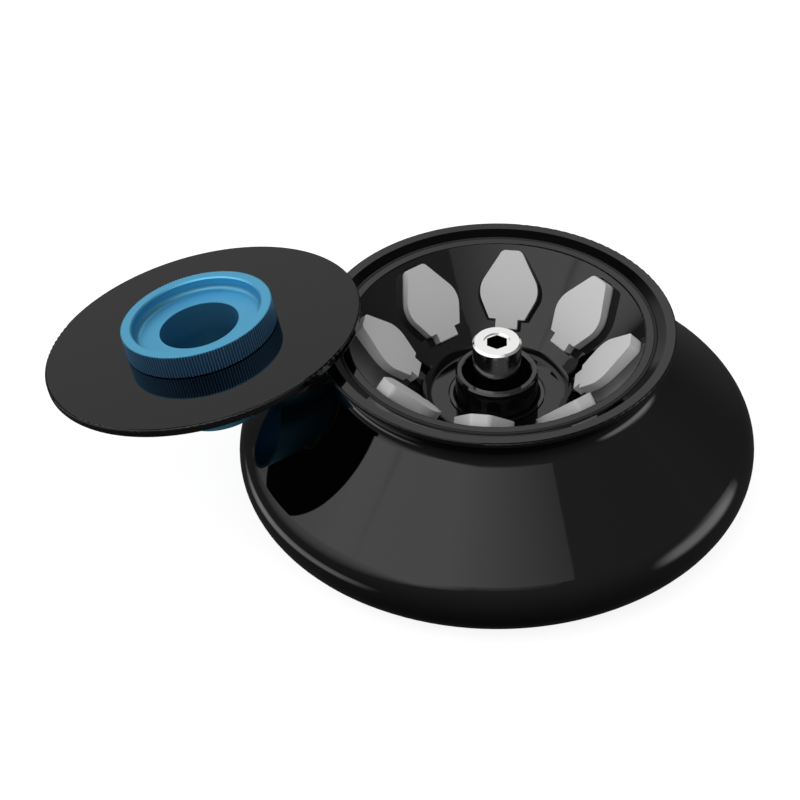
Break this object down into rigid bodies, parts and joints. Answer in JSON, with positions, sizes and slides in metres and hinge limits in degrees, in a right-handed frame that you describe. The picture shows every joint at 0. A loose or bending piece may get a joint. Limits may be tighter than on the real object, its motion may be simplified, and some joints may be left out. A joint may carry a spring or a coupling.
{
  "type": "fixed angle centrifuge rotor",
  "caption": "Fixed angle centrifuge rotor: black waisted body with a conical bowl of angled wells, threaded hub collar, and a round lid with a knurled screw knob, taken off.",
  "frame": {"origin": "centre of the mouth of the spindle bore, in the underside of the drive hub", "axes": "+Z is the spin axis and points up out of the bowl; +X points away from the lid, which hangs tilted beyond the -X edge of the rim; wells lie every 45 degrees from +X"},
  "size_m": [0.2871, 0.2116, 0.0854],
  "materials": {
    "black_gloss": "deep black, polished to a mirror gloss",
    "grey_plastic": "pale grey moulded plastic, satin",
    "dark_metal": "dark hard anodised, satin gloss",
    "bright_chrome": "bright, finely turned face",
    "blue_anodised": "blue anodised, satin, fine straight knurl",
    "black_rubber": "matte black rubber",
    "bearing_bronze": "bearing bronze, turned",
    "spring_steel": "dark spring steel",
    "hub_steel": "turned stainless steel",
    "white_plastic": "natural low-friction plastic"
  },
  "bodies": {
    "rotor": {"rotor_body": "black_gloss", "well_insert_1": "grey_plastic", "well_insert_2": "grey_plastic", "well_insert_3": "grey_plastic", "well_insert_4": "grey_plastic", "well_insert_5": "grey_plastic", "well_insert_6": "grey_plastic", "well_insert_7": "grey_plastic", "well_insert_8": "grey_plastic", "rim_seal": "black_rubber", "hub_collar": "dark_metal", "collar_seat_ring": "dark_metal", "nut_bush": "bearing_bronze", "drive_hub": "hub_steel", "drive_pin_1": "spring_steel", "drive_pin_2": "spring_steel", "hub_screw_1": "spring_steel", "hub_screw_2": "spring_steel", "hub_screw_3": "spring_steel", "hub_screw_4": "spring_steel"},
    "nut": {"clamp_nut": "bright_chrome", "nut_clip": "spring_steel"},
    "lid": {"lid_disc": "black_gloss", "knob_washer": "white_plastic"},
    "knob": {"lid_knob": "blue_anodised", "knob_clip": "spring_steel", "knob_seal": "black_rubber"}
  },
  "joints": [
    {"name": "clamp_nut_turn", "type": "hinge", "parent": "rotor", "child": "nut", "pos_m": [0, 0, 0.022], "axis": [0, 0, 1], "continuous": true},
    {"name": "lid_lift", "type": "slide", "parent": "rotor", "child": "lid", "axis": [0, 0, 1], "range_m": [0, 0.06]},
    {"name": "knob_turn", "type": "hinge", "parent": "lid", "child": "knob", "pos_m": [-0.11783, -0.01211, 0.06276], "axis": [-0.2105, 0.0628, 0.9756], "continuous": true}
  ]
}
